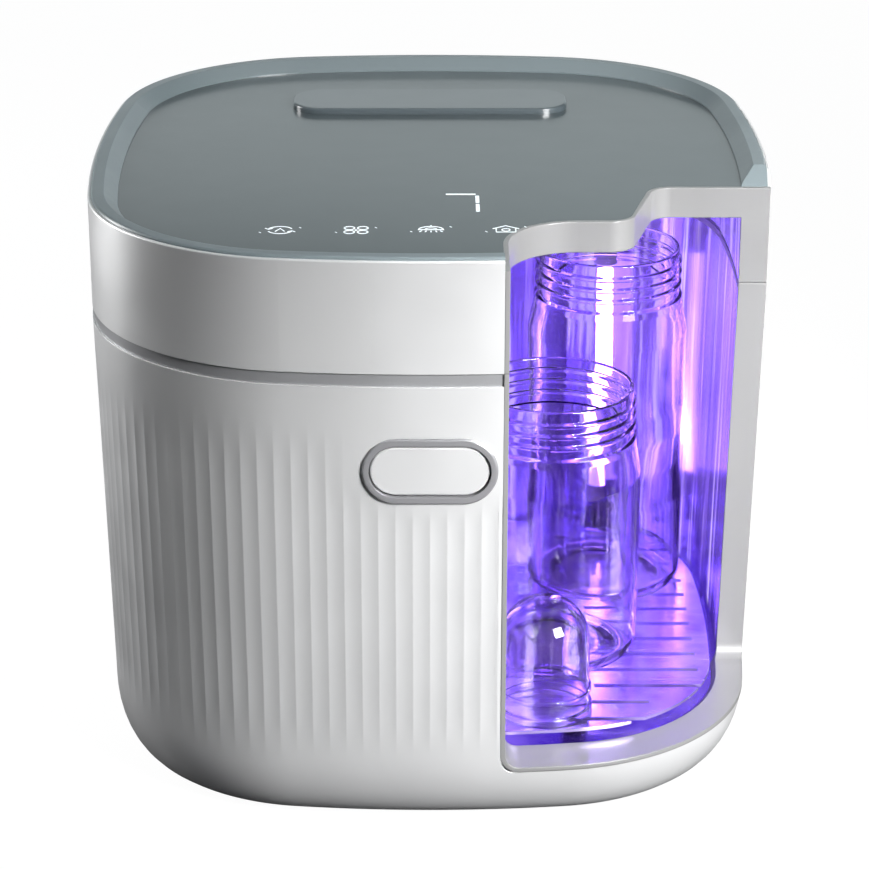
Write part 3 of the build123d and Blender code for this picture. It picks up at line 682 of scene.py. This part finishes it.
# ---- return springs ------------------------------------------------------------------------
def return_springs():
    """The two coil springs behind the button, which shorten as it goes in; here they are drawn at rest on the
    base and do not.
    """
    radius, wire = 2.9 * MM, 0.4 * MM
    turns, steps, sides = 5, 28, 8
    low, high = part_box("button_springs")
    verts, faces = [], []
    for x in (low.x + radius + wire, high.x - radius - wire):
        first = len(verts)
        for step in range(turns * steps + 1):
            turn = math.tau * step / steps
            outward = Vector((math.cos(turn), 0, math.sin(turn)))
            y = low.y + wire + (high.y - low.y - 2 * wire) * step / (turns * steps)
            for side in range(sides):
                tilt = math.tau * side / sides
                spot = Vector((x, y + wire * math.sin(tilt), BUTTON_CENTRE.z))
                verts.append(spot + outward * (radius + wire * math.cos(tilt)))
        for step in range(turns * steps):
            a = first + step * sides
            for side in range(sides):
                b = (side + 1) % sides
                faces.append((a + side, a + b, a + sides + b, a + sides + side))
        last = len(verts) - sides
        faces += [tuple(first + k for k in reversed(range(sides))), tuple(last + k for k in range(sides))]
    springs = new_object("return_springs", verts, faces, 50.0)
    finish_piece(springs, "base", "steel", ["button_springs"])
    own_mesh(springs)


# ---- lid markings --------------------------------------------------------------------------
INK_RISE = 0.12 * MM


def ribbon(path, width, centre, closed=False):
    """Flat raised stroke on the panel: a path in millimetres about centre, with square ends."""
    points = [Vector((x * MM, y * MM)) for x, y in path]
    count = len(points)
    half = width * MM / 2
    sides = ([], [])
    for i, point in enumerate(points):
        before = points[i - 1] if closed or i else point
        after = points[(i + 1) % count] if closed or i < count - 1 else point
        along = (after - before).normalized()
        across = Vector((-along.y, along.x)) * half
        sides[0].append(point + across)
        sides[1].append(point - across)
    low, high = LID_PANEL_TOP - 0.02 * MM, LID_PANEL_TOP + INK_RISE
    verts, faces = [], []
    for i in range(count):
        for side, level in ((0, high), (1, high), (1, low), (0, low)):
            spot = sides[side][i]
            verts.append((centre[0] + spot.x, centre[1] + spot.y, level))
    for i in range(count if closed else count - 1):
        a, b = 4 * i, 4 * ((i + 1) % count)
        for k in range(4):
            faces.append((a + k, a + (k + 1) % 4, b + (k + 1) % 4, b + k))
    if not closed:
        last = 4 * (count - 1)
        faces += [(3, 2, 1, 0), (last, last + 1, last + 2, last + 3)]
    return verts, faces


def arc(radius_x, radius_y, start, stop, steps=16, centre=(0, 0)):
    """Points along an arc of an ellipse, in degrees."""
    path = []
    for step in range(steps + 1):
        turn = math.radians(start + (stop - start) * step / steps)
        path.append((centre[0] + radius_x * math.cos(turn), centre[1] + radius_y * math.sin(turn)))
    return path


def marking(name, strokes, centre):
    """Joins strokes of (path, width, closed) into one piece on the lid."""
    verts, faces = [], []
    for path, width, closed in strokes:
        more_verts, more_faces = ribbon(path, width, centre, closed)
        faces += [tuple(v + len(verts) for v in face) for face in more_faces]
        verts += more_verts
    return finish_piece(new_object(name, verts, faces), "lid", "indicator")


def lid_markings():
    """Four touch icons, each between two ticks, and a lit digit, in thin strokes on the panel."""
    places = [(-58.2 * MM, -101 * MM), (-28.7 * MM, -101 * MM), (0.4 * MM, -100 * MM), (29.5 * MM, -100 * MM)]
    ticks = [(arc(8.8, 6.2, 204, 214, 4), 0.35, False), (arc(8.8, 6.2, 24, 34, 4), 0.35, False)]
    cycle = [(arc(4.8, 4.5, 22, 158), 0.55, False), (arc(4.8, 4.5, 202, 338), 0.55, False),
             ([(-5.9, 2.3), (-4.5, 0.9), (-3.0, 2.3)], 0.5, False),
             ([(5.9, -2.3), (4.5, -0.9), (3.0, -2.3)], 0.5, False),
             ([(-1.8, -1.7), (0, 1.9), (1.8, -1.7)], 0.5, False)]
    lobes = [(arc(2.0, 2.0, 0, 342, 18, (x, y)), 0.6, True) for x in (-2.6, 2.6) for y in (-2.5, 2.5)]
    lobes.append((arc(0.45, 0.45, 0, 324, 9), 0.4, True))
    lamp = [(arc(4.8, 4.2, 0, 180, 18, (0, -0.6)), 0.55, False), ([(-5.1, -0.6), (5.1, -0.6)], 0.55, False),
            ([(0, 3.6), (0, 5.0)], 0.6, False), (arc(2.4, 2.1, 20, 160, 10, (0, -0.4)), 0.4, False)]
    for k in range(5):
        x = -3.6 + 1.8 * k
        lamp.append(([(x, -2.0), (x * 1.25, -3.7 + 0.12 * abs(x))], 0.45, False))
    house = [([(-5.1, 0.7), (0, 4.5), (5.1, 0.7)], 0.55, False),
             ([(-3.8, 1.6), (-3.8, -3.5), (3.8, -3.5), (3.8, 1.6)], 0.55, False),
             (arc(1.6, 1.6, 0, 330, 12, (0, -0.8)), 0.45, True)]
    for name, strokes, place in zip(
        ("icon_cycle", "icon_fan", "icon_lamp", "icon_store"), (cycle, lobes, lamp, house), places
    ):
        marking(name, strokes + ticks, place)
    digit = [([(6.4, -53.9), (18.4, -53.9)], 1.3, False),
             ([(19.0, -56.0), (19.0, -65.2)], 1.5, False),
             ([(19.0, -67.2), (19.0, -77.2)], 1.5, False)]
    marking("display_digit", digit, (0, 0))


# ---- load: bottles and teat cover ----------------------------------------------------------
def bottle_piece(name, neck):
    """Wide-neck bottle with a pushed-up base, soft shoulders, thread and lip."""
    low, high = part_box(name)
    x, y = (low.x + high.x) / 2, (low.y + high.y) / 2
    radius, base = (high.x - low.x) / 2 / MM, low.z / MM
    top = high.z / MM
    wall = 1.9

    def thread(z):
        return [(neck, z - 1.3), (neck + 1.1, z - 0.5), (neck + 1.1, z + 0.5), (neck, z + 1.3)]

    outer = [(0, base + 3.0), (radius - 15, base + 2.2), (radius - 9, base), (radius, base + 0.2),
             (radius, base + 44), (radius - 1.3, base + 60), (radius - 1.3, base + 74), (radius, base + 88),
             (radius, top - 37), (neck + 1.5, top - 24.5), (neck + 1.5, top - 21.5), (neck, top - 20.5)]
    curves = [0, 10, 3, 6.5, 40, 40, 40, 40, 11, 2, 0.6, 0.6]
    if top - base < 140:
        outer = outer[:4] + outer[8:]
        curves = curves[:4] + curves[8:]
    outer += thread(top - 16) + thread(top - 11) + thread(top - 6)
    curves += [0.3] * 12
    outer += [(neck, top), (neck - wall, top)]
    curves += [0.8, 0.8]
    inner = [(neck - wall, top - 21), (radius - wall, top - 38), (radius - wall, base + wall + 0.4),
             (radius - 14, base + wall + 0.6), (0, base + 5.4)]
    path = rounded(outer + inner, curves + [4, 12, 6, 8, 0], 6)
    profile = [(p.x * MM, p.y * MM) for p in path]
    piece = lathe(name + "_glass", profile, (x, y))
    return finish_piece(piece, name, "clear_bottle", [name])


def teat_cover_piece():
    """Domed cover with a band at its foot and a thin ridge above it."""
    low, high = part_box("teat_cover")
    x, y = (low.x + high.x) / 2, (low.y + high.y) / 2
    radius, base, top = (high.x - low.x) / 2 / MM, low.z / MM, high.z / MM
    wall = 1.5
    outer = [(radius - wall, base), (radius, base), (radius, base + 3.2), (radius - 1.2, base + 3.6),
             (radius - 1.2, base + 9), (radius - 0.4, base + 9.6), (radius - 0.4, base + 11),
             (radius - 1.2, base + 11.6), (radius - 1.6, top - 18)]
    dome = arc(radius - 1.6, 18.0, 0, 90, 16, (0, top - 18))
    inside = arc(radius - 1.6 - wall, 18.0 - wall, 90, 0, 16, (0, top - 18))
    path = rounded(outer[:-1], [0.5, 0.6, 0.5, 0.5, 0.5, 0.3, 0.3, 0.5], 4, True)
    profile = [(p.x * MM, p.y * MM) for p in path]
    profile += [(px * MM, pz * MM) for px, pz in dome + inside]
    piece = lathe("teat_cover_dome", profile, (x, y), 96)
    return finish_piece(piece, "teat_cover", "clear_bottle", ["teat_cover"])


# ---- studio --------------------------------------------------------------------------------
def area_light(name, place, target, size, power, colour=(1, 1, 1), spread=180):
    lamp = bpy.data.lights.new(name, "AREA")
    lamp.spread = math.radians(spread)
    lamp.shape = "RECTANGLE"
    lamp.size, lamp.size_y = size
    lamp.energy = power
    lamp.color = colour
    made = bpy.data.objects.new(name, lamp)
    bpy.context.scene.collection.objects.link(made)
    made.location = place
    made.visible_camera = False
    made.rotation_euler = (Vector(target) - Vector(place)).to_track_quat("-Z", "Y").to_euler()
    return made


def studio():
    """Dim surround, a narrow key from the front right, a left edge light and two cards above and behind."""
    scene = bpy.context.scene
    scene.view_settings.view_transform = "Standard"
    world = bpy.data.worlds.new("studio")
    scene.world = world
    world.use_nodes = True
    surround = world.node_tree.nodes["Background"]
    surround.inputs["Color"].default_value = (0.93, 0.96, 1.0, 1.0)
    surround.inputs["Strength"].default_value = 0.06
    make_floor()
    area_light("key", (0.46, -0.58, 0.47), (0.13, -0.10, 0.13), (0.3, 0.3), 1.8, spread=50)
    area_light("left_rim", (-0.90, 0.30, 0.35), (-0.1, 0.0, 0.13), (0.3, 0.8), 8)
    area_light("back_card", (0.0, 1.6, 0.44), (0, 0, 0.2), (2.4, 0.7), 3.5, (0.88, 0.98, 1.0))
    area_light("overhead", (0.0, 0.4, 1.4), (0, 0, 0.2), (1.4, 1.0), 3.3, (0.9, 0.98, 1.0))


def make_floor():
    """Pale floor: nearly white to the camera, and dim in what it throws back on the object."""
    levels = (-0.02, 0.0)
    floor = from_rings("floor", [
        [(-4, -4, z), (4, -4, z), (4, 6, z), (-4, 6, z)] for z in levels], caps=True)
    shader = Shader("floor_white", {"Roughness": 0.9, "Specular IOR Level": 0.0})
    tone = shader.ramp(shader.noise(3.0), [(0.3, (0.048, 0.048, 0.05)), (0.7, (0.052, 0.052, 0.054))])
    shader.use(tone, "Base Color")
    path = shader.node("ShaderNodeLightPath")
    shader.use(shader.remap(path.outputs["Is Camera Ray"], 0.0, 0.97, 0.0, 1.0), "Emission Strength")
    shader.bsdf.inputs["Emission Color"].default_value = (1, 1, 1, 1)
    floor.data.materials.append(shader.material)


def chamber_light():
    """Violet light from in front of the two rear lamps and from under the lid's lamp."""
    violet = (0.40, 0.19, 1.0)
    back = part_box("rear_lamps")
    y = back[0].y - 5 * MM
    height = back[1].z - back[0].z
    for x in (-80 * MM, 80 * MM):
        middle = (x, y, (back[0].z + back[1].z) / 2)
        area_light("uv_rear", middle, (x * 0.6, -0.1, 0.09), (0.008, height), 0.09, violet)
    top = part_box("lid_lamp")[0].z - 2 * MM
    area_light("uv_top", (0, 10 * MM, top), (0, -0.005, 0.0), (0.11, 0.01), 0.07, violet)


def place_camera():
    """Long lens in front of the object, looking down at about 22 degrees."""
    camera = bpy.data.cameras.new("camera")
    camera.lens = 118.45
    camera.sensor_width = 36.0
    camera.shift_x = 0.0052
    made = bpy.data.objects.new("camera", camera)
    bpy.context.scene.collection.objects.link(made)
    made.location = (0.0, -1.16026, 0.57793)
    made.rotation_euler = (math.radians(90 - 21.9), 0.0, 0.0)
    bpy.context.scene.camera = made


place_camera()
studio()
chamber_light()
dress_frame()
fluted_casing()
return_springs()
lid_markings()
bottle_piece("bottle_front", 33.5)
bottle_piece("bottle_rear", 31.0)
bottle_piece("bottle_left", 30.0)
teat_cover_piece()
